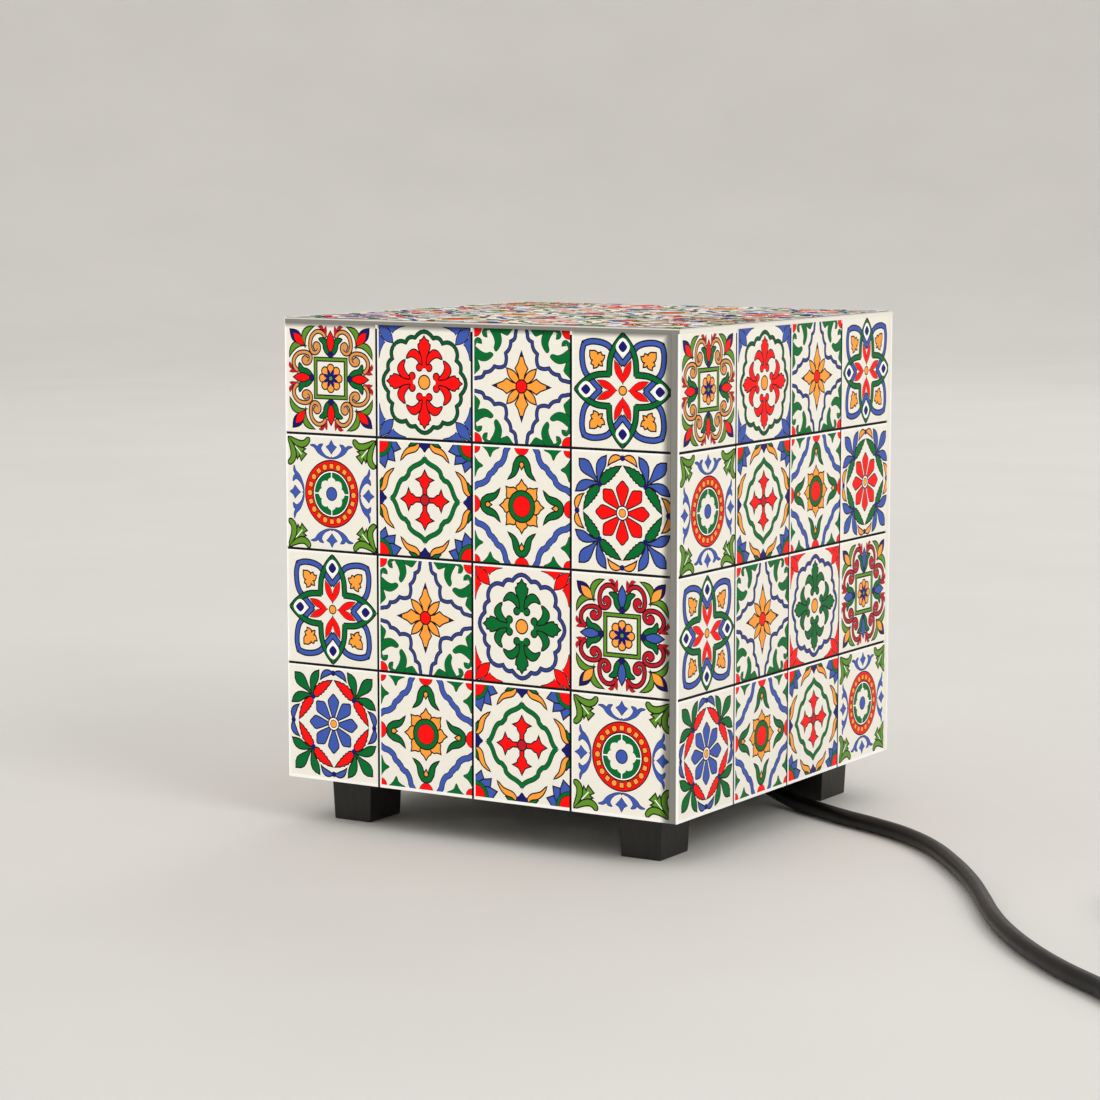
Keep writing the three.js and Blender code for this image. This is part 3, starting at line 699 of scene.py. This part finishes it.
def moulded(name, dark, light, roughness, grain, depth, metallic=0.0, glow=0.0, stretch=(1, 1, 1)):
    """A mottled surface with a fine grain: moulded plastic, rubber, wood, glass or metal."""
    material, tree, shader = node_material(name)
    mottle(tree, shader, noise(tree, grain / 12, 4.0, stretch), dark, light)
    low, high = roughness - ROUGHNESS_SPREAD, roughness + ROUGHNESS_SPREAD
    vary_roughness(tree, shader, noise(tree, grain / 5, 3.0, stretch), low, high)
    bump(tree, shader, noise(tree, grain, 2.0, stretch), depth, GRAIN_HEIGHT)
    shader.inputs["Metallic"].default_value = metallic
    if glow:
        shader.inputs["Emission Color"].default_value = (*linear(light), 1)
        shader.inputs["Emission Strength"].default_value = glow
    return material


# ------------ the cube's faces

TILES = 4
TILE_U = 49.6 * MM
TILE_V = 51.5 * MM
GROUT = 1.1 * MM            # a little over the sheet's groove, whose edges are black too
HIGHLIGHT = 0.8 * MM        # the bare glazed edge along a tile's left and upper sides
CHAMFER = 0.12 * MM
GLAZE = 0.25 * MM           # how far the glaze stands proud of the sheet
SUNK = 0.03 * MM
TOP_MARGIN = 2.0 * MM       # the rim above the first row, where the top panel's edge shows
TOP_PRINT_GAP = 1.8 * MM    # from the cube's top face to the first row's print
FOOT_PRINT_GAP = 1.4 * MM   # from the cube's lower edge to the last row's print
CDT_EPSILON = 1e-5
JOINT = ("ink", 1.0)        # a tile's sides and back, in the black joints
# how strongly each face glows: the key light falls on the right one and on the top
SIDE_GLOW = {"front": 0.29, "right": 0.175, "back": 0.29, "left": 0.29}
TOP_GLOW = 0.06
TOP_SPECULAR = 0.0          # a gloss would mirror the pale room at the camera's low angle

SHEET_LOW, SHEET_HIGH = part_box("tile_sheet_front")
HALF = -SHEET_LOW.y
CUBE_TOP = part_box("tile_sheet_top")[1].z
CUBE_FOOT = SHEET_LOW.z


def on_wall(quarter_turns):
    """A side's own coordinates (along it, up, out of it) to the frame's."""
    spin = Matrix.Rotation(radians(90 * quarter_turns), 3, "Z")
    return lambda u, v, out: spin @ Vector((u, -HALF - out, v))


def on_top(u, v, out):
    return Vector((u, v, CUBE_TOP + out))


def wall_cells():
    """Each side tile's letter, its outline (left, bottom, right, top) and that of its print."""
    for row, letters in enumerate(LAYOUT):
        for column, letter in enumerate(letters):
            left = -HALF + column * TILE_U
            bottom = CUBE_TOP - (row + 1) * TILE_V
            right = left + TILE_U - GROUT
            top = bottom + TILE_V
            print_box = [left + HIGHLIGHT, bottom + GROUT, right, top - HIGHLIGHT]
            edge = [left, bottom + GROUT, min(right, SHEET_HIGH.x), top]
            if row == 0:
                edge[3] = CUBE_TOP - TOP_MARGIN
                print_box[3] = CUBE_TOP - TOP_PRINT_GAP
            if row == TILES - 1:
                edge[1] = CUBE_FOOT
                print_box[1] = CUBE_FOOT + FOOT_PRINT_GAP
            yield letter, edge, print_box


def top_cells():
    """The same for the top, whose rows run from its back edge to its front edge."""
    pitch = 2 * HALF / TILES
    for row, letters in enumerate(LAYOUT):
        for column, letter in enumerate(letters):
            left = -HALF + column * pitch
            bottom = HALF - (row + 1) * pitch
            edge = [left, bottom + GROUT, left + pitch - GROUT, bottom + pitch]
            if row == 0:
                edge[3] -= GROUT
            print_box = [left + HIGHLIGHT, bottom + GROUT, left + pitch - GROUT, bottom + pitch - HIGHLIGHT]
            yield letter, edge, print_box


def cut_print(art, edge, print_box, painted_shades):
    """The tile's face as flat polygons: its points, its faces, each face's (colour, shade), and the box
    inside its chamfer."""
    width, height = print_box[2] - print_box[0], print_box[3] - print_box[1]
    centre_u, centre_v = (print_box[0] + print_box[2]) / 2, (print_box[1] + print_box[3]) / 2

    def unit(box):
        return rectangle(*(
            2 * (value - (centre_v if i % 2 else centre_u)) / (height if i % 2 else width)
            for i, value in enumerate(box)
        ))

    # shape 0 is the tile and shape 1 its print, and then come the boxes of painted shade and the artwork's
    # layers
    inner = [edge[0] + CHAMFER, edge[1] + CHAMFER, edge[2] - CHAMFER, edge[3] - CHAMFER]
    shapes = [unit(inner), unit(print_box)] + [unit(box) for box, _ in painted_shades]
    first_layer = len(shapes)
    shapes += [shape for _, shape in art.layers]
    points, rings = [], []
    for shape in shapes:
        rings.append(list(range(len(points), len(points) + len(shape))))
        points += [Vector(p) for p in shape]
    verts, _, faces, _, _, owners = delaunay_2d_cdt(points, [], rings, 1, CDT_EPSILON, True)
    kept, looks = [], []
    for face, inside in zip(faces, owners):
        if 0 not in inside:
            continue
        layers = [i for i in inside if i >= first_layer]
        # painted shade: a face inside the shade boxes takes the darkest one's shade
        shade = min([painted_shades[i - 2][1] for i in inside if 2 <= i < first_layer], default=1.0)
        if 1 not in inside:
            colour = "white"
        else:
            colour = art.layers[max(layers) - first_layer][0] if layers else "ground"
        kept.append(face)
        looks.append((colour, shade))
    placed = [(centre_u + v.x * width / 2, centre_v + v.y * height / 2) for v in verts]
    return placed, kept, looks, inner


def add_skirt(verts, faces, looks, inner, dark_chamfer):
    """The chamfer round a tile, its sides and its back, from the open edges of its face."""
    uses = {}
    for face, look in zip(faces, looks):
        for a, b in zip(face, face[1:] + face[:1]):
            if uses.pop((b, a), None) is None:
                uses[(a, b)] = look
    near = CHAMFER / 20
    lowered = {}
    for start, _ in uses:
        u, v, out = verts[start]
        push_u = (u > inner[2] - near) - (u < inner[0] + near)
        push_v = (v > inner[3] - near) - (v < inner[1] + near)
        lowered[start] = len(verts)
        verts.append((u + CHAMFER * push_u, v + CHAMFER * push_v, out - CHAMFER))
        verts.append((u + CHAMFER * push_u, v + CHAMFER * push_v, -SUNK))
    following = dict(uses.keys())
    for (a, b), look in uses.items():
        faces += [(b, a, lowered[a], lowered[b]), (lowered[b], lowered[a], lowered[a] + 1, lowered[b] + 1)]
        looks += [JOINT if dark_chamfer else look, JOINT]
    start = next(iter(following))
    loop, step = [lowered[start] + 1], following[start]
    while step != start:
        loop.append(lowered[step] + 1)
        step = following[step]
    faces.append(tuple(reversed(loop)))
    looks.append(JOINT)


def add_tiles(name, cells, place, glow, prints, painted_shades=(), specular=GLAZE_SPECULAR, dark_chamfers=False):
    """One face's tiles, as one piece."""
    verts, faces, looks = [], [], []
    for letter, edge, print_box in cells:
        flat, tile_faces, tile_looks, inner = cut_print(prints[letter], edge, print_box, painted_shades)
        used = sorted({i for face in tile_faces for i in face})
        renumber = {old: new for new, old in enumerate(used)}
        tile_verts = [(*flat[i], GLAZE) for i in used]
        tile_faces = [tuple(renumber[i] for i in face) for face in tile_faces]
        add_skirt(tile_verts, tile_faces, tile_looks, inner, dark_chamfers)
        offset = len(verts)
        verts += [place(*v) for v in tile_verts]
        faces += [tuple(i + offset for i in face) for face in tile_faces]
        looks += tile_looks
    mesh = bpy.data.meshes.new(name)
    mesh.from_pydata(verts, [], faces)
    slots = sorted(set(looks))
    for colour, shade in slots:
        mesh.materials.append(glaze(colour, shade, glow, specular))
    mesh.polygons.foreach_set("material_index", [slots.index(look) for look in looks])
    mesh.update()
    piece = add_object(name, mesh)
    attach(piece, "shade")
    return piece


# painted shade along the front's right end and upper edge, which lie over the neighbouring panels' ends:
# how far each step reaches from that edge, and how bright it is
RIGHT_PAINTED_SHADE = [(7.9 * MM, 0.86), (7.2 * MM, 0.70), (6.6 * MM, 0.52), (6.0 * MM, 0.38), (5.3 * MM, 0.27)]
UPPER_PAINTED_SHADE = [(4.2 * MM, 0.86), (3.75 * MM, 0.70), (3.3 * MM, 0.52), (2.85 * MM, 0.38), (2.4 * MM, 0.27)]


def front_fades():
    """The boxes that the two bands of painted shade darken, from the outermost in, and each one's shade."""
    far = 10 * HALF
    right = [([HALF - reach, -far, far, far], shade) for reach, shade in RIGHT_PAINTED_SHADE]
    upper = [([-far, CUBE_TOP - reach, far, far], shade) for reach, shade in UPPER_PAINTED_SHADE]
    return right + upper


def add_faces():
    prints = motifs()
    for turns, side in enumerate(SIDES):
        # painted shade, on the front face only
        painted_shades = front_fades() if side == "front" else ()
        add_tiles(f"tiles_{side}", wall_cells(), on_wall(turns), SIDE_GLOW[side], prints, painted_shades)
    add_tiles("tiles_top", top_cells(), on_top, TOP_GLOW, prints, specular=TOP_SPECULAR, dark_chamfers=True)


# ------------ trims on the cube's edges

TRIM_T = 0.22 * MM
TRIM_GAP = 0.06 * MM
PANEL_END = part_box("panel_right")[1].x      # outer face of the carrier panels
FRONT_EDGE_PAINTED_SHADE = 0.27                                  # painted shade: how bright the front's edge strips are, darker than the other sides'
BRIGHT = 0.95                               # how bright the other sides' edges are
RIM_LINE = 0.80                             # the light line along the top's upper edge
STRIP_STEPS = 24


def add_strip(name, place, box, shades, colour, glow, along_v):
    """A thin chamfered strip, divided lengthwise into one stroke for each shade."""
    left, bottom, right, top = box
    mesh = bmesh.new()
    count = len(shades)
    bevel = TRIM_T / 2
    # across the strip: the two feet, the two chamfered edges and the strokes between them
    low, high = (left, right) if along_v else (bottom, top)
    start, end = (bottom, top) if along_v else (left, right)
    inner = [low + bevel + (high - low - 2 * bevel) * k / count for k in range(count + 1)]
    section = [(low, -SUNK), (low, TRIM_T - bevel)] + [(c, TRIM_T) for c in inner]
    section += [(high, TRIM_T - bevel), (high, -SUNK)]
    rows = []
    for step in range(STRIP_STEPS + 1):
        s = start + (end - start) * step / STRIP_STEPS
        pairs = [(c, s, out) if along_v else (s, c, out) for c, out in section]
        rows.append([mesh.verts.new(place(*p)) for p in pairs])
    ring = len(section)
    strokes = [0, 0] + list(range(count)) + [count - 1, count - 1, 0]
    for a, b in zip(rows, rows[1:]):
        for k in range(ring):
            n = (k + 1) % ring
            quad = (a[k], a[n], b[n], b[k]) if along_v else (a[k], b[k], b[n], a[n])
            mesh.faces.new(quad).material_index = strokes[k]
    mesh.faces.new(rows[0] if not along_v else rows[0][::-1])
    mesh.faces.new(rows[-1][::-1] if not along_v else rows[-1])
    bmesh.ops.recalc_face_normals(mesh, faces=mesh.faces)
    data = bpy.data.meshes.new(name)
    mesh.to_mesh(data)
    mesh.free()
    for shade in shades:
        data.materials.append(glaze(colour, shade, glow))
    strip = add_object(name, data)
    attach(strip, "shade")


def add_trims():
    """On each side, the end of the next side's panel and sheet, and the edge of the top."""
    foot, top = CUBE_FOOT, CUBE_TOP - TOP_MARGIN - TRIM_GAP
    for turns, side in enumerate(SIDES):
        # painted shade: the front's edge strips and rim are dim, the other sides' nearly as bright as the
        # tiles
        edge_shade = FRONT_EDGE_PAINTED_SHADE if side == "front" else BRIGHT
        place, glow = on_wall(turns), SIDE_GLOW[side]
        panel_end = [SHEET_HIGH.x + TRIM_GAP, foot, PANEL_END, top]
        add_strip(f"panel_end_{side}", place, panel_end, [edge_shade, edge_shade], "ground", glow, True)
        sheet_end = [PANEL_END + TRIM_GAP, foot, HALF + GLAZE, top]
        add_strip(f"sheet_end_{side}", place, sheet_end, [edge_shade, 1.0], "white", glow, True)
        rim = [-HALF, CUBE_TOP - TOP_MARGIN, HALF + GLAZE, CUBE_TOP + GLAZE / 2]
        add_strip(f"top_rim_{side}", place, rim, [edge_shade, edge_shade, edge_shade, RIM_LINE], "ground", glow, False)


# ------------ the other pieces

# the dark and the light colour, the roughness, how fine and how deep the grain is, and the rest of what
# moulded() takes. A piece's slot has the name of its finish
FINISHES = {
    "black_board": ((16, 13, 11), (30, 25, 21), 0.55, 700, 0.35, {"stretch": (1, 9, 9)}),
    "black_wood": ((17, 14, 11), (30, 26, 21), 0.5, 800, 0.3, {"stretch": (7, 7, 1)}),
    "black_plastic": ((15, 15, 16), (23, 23, 24), 0.38, 1500, 0.2, {}),
    "black_rubber": ((14, 14, 14), (22, 22, 22), 0.5, 1400, 0.25, {}),
    "cord_sheath": ((6, 5, 5), (11, 10, 10), 0.42, 1200, 0.2, {}),
    "tie_strap": ((20, 20, 22), (34, 34, 36), 0.6, 2400, 0.4, {}),
    "white_plastic": ((226, 225, 219), (240, 239, 234), 0.4, 1300, 0.15, {}),
    "brass": ((176, 140, 66), (206, 172, 92), 0.3, 900, 0.1, {"metallic": 1.0}),
    "zinc_steel": ((150, 152, 156), (186, 188, 192), 0.35, 900, 0.15, {"metallic": 1.0}),
    "opal_glass": ((236, 230, 215), (246, 242, 231), 0.35, 200, 0.05, {"glow": 0.25}),
    "frosted_glass": ((250, 242, 222), (255, 250, 236), 0.4, 500, 0.05, {"glow": 0.9}),
    "black_grout": ((6, 5, 5), (14, 12, 12), 0.8, 2000, 0.4, {}),
    "black_insulator": ((18, 16, 16), (30, 27, 26), 0.35, 900, 0.1, {}),
    "lead_brown": ((92, 50, 26), (116, 66, 36), 0.45, 1200, 0.1, {}),
    "lead_blue": ((36, 74, 156), (52, 96, 184), 0.45, 1200, 0.1, {}),
}
MADE = {}
SHEATH_SPECULAR = 0.3
# the CAD nodes that keep their shape, under the finish that they get
DRESSED = {
    "black_grout": ["tile_sheet_top", *(f"tile_sheet_{side}" for side in SIDES)],
    "opal_glass": ["panel_top", *(f"panel_{side}" for side in SIDES),
                   *(f"corner_post_{corner}" for corner in CORNERS)],
    "zinc_steel": ["holder_screw_left", "holder_screw_right", "outlet_screw_front", "outlet_screw_back",
                   *(f"foot_screw_{corner}" for corner in CORNERS)],
    "white_plastic": ["holder_body", "bulb_collar"],
    "brass": ["holder_shell", "holder_contact", "bulb_contact", "plug_pin_left", "plug_pin_right"],
    "black_insulator": ["bulb_insulator"],
    "lead_brown": ["lead_live"],
    "lead_blue": ["lead_neutral"],
}
# edges that turn by more than this many degrees are rounded
ROUNDED_FROM = 35
BIG_FACE_WEIGHT = 100
COPLANAR = radians(1)
WELD = MM / 1000


def make_finishes():
    for name, (*look, rest) in FINISHES.items():
        MADE[name] = moulded(name, *look, **rest)
    shader = MADE["cord_sheath"].node_tree.nodes["Principled BSDF"]
    shader.inputs["Specular IOR Level"].default_value = SHEATH_SPECULAR


def dress_nodes():
    for name, nodes in DRESSED.items():
        for node in nodes:
            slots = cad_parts[node].data.materials
            slots.clear()
            slots.append(MADE[name])


def stand_in(name, data, node, body, finish):
    """Put a mesh in a CAD node's place."""
    data.materials.append(MADE[finish])
    piece = add_object(name, data)
    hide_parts(node)
    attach(piece, body)
    return piece


def soften(node, body, finish, width, segments=3):
    """A copy of a CAD node with rounded edges, in the node's place."""
    mesh = bmesh.new()
    mesh.from_mesh(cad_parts[node].data)
    bmesh.ops.remove_doubles(mesh, verts=mesh.verts, dist=WELD)
    bmesh.ops.dissolve_limit(mesh, angle_limit=COPLANAR, verts=mesh.verts, edges=mesh.edges)
    data = bpy.data.meshes.new(f"{node}_rounded")
    mesh.to_mesh(data)
    mesh.free()
    data.polygons.foreach_set("use_smooth", [True] * len(data.polygons))
    piece = stand_in(f"{node}_rounded", data, node, body, finish)
    bevel = piece.modifiers.new("rounding", "BEVEL")
    bevel.width = width
    bevel.segments = segments
    bevel.limit_method = "ANGLE"
    bevel.angle_limit = radians(ROUNDED_FROM)
    # plane faces stay plane beside a bevel
    even = piece.modifiers.new("even_shading", "WEIGHTED_NORMAL")
    even.mode = "FACE_AREA"
    even.weight = BIG_FACE_WEIGHT
    return piece


def add_turned(name, node, body, finish, profile, sides=48, along="Z"):
    """A turned piece in a CAD node's place. profile has each ring's radius and its height above the
    node's foot."""
    low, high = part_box(node)
    middle = (low + high) / 2
    lying = along == "X"
    axis = Vector((low.x, middle.y, middle.z)) if lying else Vector((middle.x, middle.y, low.z))
    verts, faces = [], []
    for r, h in profile:
        for a, b in circle(r, sides=sides):
            verts.append(axis + (Vector((h, a, b)) if lying else Vector((a, b, h))))
    for ring in range(len(profile) - 1):
        a, b = ring * sides, (ring + 1) * sides
        faces += [(a + i, a + (i + 1) % sides, b + (i + 1) % sides, b + i) for i in range(sides)]
    faces.append(tuple(reversed(range(sides))))
    faces.append(tuple(range((len(profile) - 1) * sides, len(profile) * sides)))
    data = bpy.data.meshes.new(name)
    data.from_pydata(verts, [], faces)
    data.polygons.foreach_set("use_smooth", [len(f) == 4 for f in faces])
    return stand_in(name, data, node, body, finish)


def relief_profile(length, root, tip):
    """A tapered sleeve with ribs cut across it, from the housing to the cord."""
    collar, ribs, groove = 4.5 * MM, 6, 0.55 * MM
    profile = [(root - 0.5 * MM, 0), (root, 0.5 * MM), (root, collar - 0.4 * MM), (root - 0.4 * MM, collar)]
    pitch = (length - collar - 2 * MM) / ribs
    for k in range(ribs):
        foot = collar + k * pitch
        near = root + (tip - root) * (foot - collar) / (length - collar)
        far = root + (tip - root) * (foot + pitch - collar) / (length - collar)
        floor = near - groove - 0.3 * MM
        profile += [(floor, foot + 0.1 * MM), (floor, foot + 0.35 * pitch),
                    (near - 0.25 * MM, foot + 0.42 * pitch), (far, foot + 0.95 * pitch)]
    return profile + [(tip, length - 1 * MM), (tip - 0.4 * MM, length)]


def globe_profile(node):
    """A frosted globe on a short neck."""
    low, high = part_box(node)
    radius, height = (high.x - low.x) / 2, high.z - low.z
    steps, neck, pole = 24, 0.28, 0.2 * MM      # the neck is the share of the half circle left off
    return [(radius * sin(pi * (neck + (1 - neck) * k / steps)), height * (1 - cos(pi * k / steps)) / 2)
            for k in range(steps)] + [(pole, height)]


def cap_profile(node):
    """A screw cap's rolled thread, under a plain skirt."""
    low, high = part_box(node)
    radius, height = (high.x - low.x) / 2, high.z - low.z
    thread, depth, turns, steps = height - 4.5 * MM, 0.4 * MM, 6, 48
    return [(radius - depth * (1 - cos(2 * pi * turns * k / steps)), thread * k / steps)
            for k in range(steps + 1)] + [(radius, height)]


def add_base_pieces():
    for corner in CORNERS:
        soften(f"foot_{corner}", "base", "black_wood", 0.7 * MM)
    soften("base_board", "base", "black_board", 0.5 * MM, 2)
    soften("holder_flange", "base", "white_plastic", 0.8 * MM)
    soften("cord_outlet", "base", "black_plastic", 0.8 * MM)


def add_bulb_pieces():
    globe, cap = globe_profile("bulb_globe"), cap_profile("bulb_cap")
    add_turned("bulb_globe_frosted", "bulb_globe", "bulb", "frosted_glass", globe, sides=64)
    add_turned("bulb_cap_threaded", "bulb_cap", "bulb", "brass", cap)


def add_cord_pieces():
    """The cord's own finish, and the pieces on it."""
    cord.data.materials.append(MADE["cord_sheath"])
    low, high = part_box("strain_relief")
    relief = relief_profile(high.x - low.x, (high.y - low.y) / 2, CORD_D / 2 + 0.5 * MM)
    return [
        add_turned("strain_relief_ribbed", "strain_relief", "base", "black_rubber", relief, along="X"),
        soften("switch_case_lower", "base", "black_plastic", 1.2 * MM),
        soften("switch_case_upper", "base", "black_plastic", 0.9 * MM),
        soften("switch_rocker", "rocker", "black_plastic", 0.35 * MM),
        soften("plug_body", "base", "black_plastic", 2.2 * MM, 5),
        soften("cord_tie", "base", "tie_strap", 0.25 * MM, 2),
    ]


# ------------ stage and light


def add_stage():
    """A round floor whose far edge curves up all the way round."""
    flat, rim, curve, height, sides, steps = 3.2, 5.2, 2.0, 3.6, 96, 12
    profile = [(0.0, 0.0), (flat * 0.25, 0.0), (flat, 0.0)]
    for k in range(1, steps + 1):
        angle = pi / 2 * k / steps
        profile.append((flat + curve * sin(angle), curve * (1 - cos(angle))))
    profile.append((rim, height))
    verts = [(0, 0, 0)]
    for r, z in profile[1:]:
        verts += [(x, y, z) for x, y in circle(r, sides=sides)]
    faces = [(0, 1 + i, 1 + (i + 1) % sides) for i in range(sides)]
    for ring in range(len(profile) - 2):
        a, b = 1 + ring * sides, 1 + (ring + 1) * sides
        faces += [(a + i, b + i, b + (i + 1) % sides, a + (i + 1) % sides) for i in range(sides)]
    mesh = bpy.data.meshes.new("studio_floor")
    mesh.from_pydata(verts, [], faces)
    mesh.polygons.foreach_set("use_smooth", [True] * len(faces))
    mesh.materials.append(moulded("studio_paper", (232, 230, 226), (236, 234, 230), 0.8, 60, 0.02))
    floor = add_object("studio_floor", mesh)


LIGHTS_AIM = (0, 0, 0.1)
AIR_COLOUR, AIR_STRENGTH = (1.0, 0.99, 0.97, 1), 0.75


def add_light(name, place, size, power):
    data = bpy.data.lights.new(name, "AREA")
    data.shape = "DISK"
    data.size = size
    data.energy = power
    light = add_object(name, data)
    light.location = place
    light.rotation_euler = (Vector(LIGHTS_AIM) - Vector(place)).to_track_quat("-Z", "Y").to_euler()


def add_lighting():
    world = bpy.data.worlds.new("studio_air")
    world.use_nodes = True
    background = world.node_tree.nodes["Background"]
    background.inputs["Color"].default_value = AIR_COLOUR
    background.inputs["Strength"].default_value = AIR_STRENGTH
    bpy.context.scene.world = world
    add_light("key_light", (2.6, -0.8, 1.9), 1.6, 26)
    add_light("fill_light", (-2.0, -2.2, 1.6), 2.2, 4)
    add_light("back_light", (-0.6, 2.6, 2.2), 2.0, 12)
    bpy.context.scene.view_settings.view_transform = "Standard"


add_camera()
cord = add_cord()
add_faces()
add_trims()
make_finishes()
dress_nodes()
add_base_pieces()
add_bulb_pieces()
cord_pieces = add_cord_pieces()
add_stage()
add_lighting()
cord_length = polyline_length(CORD_ROUTE + coil_points() + CORD_TAIL) * MM
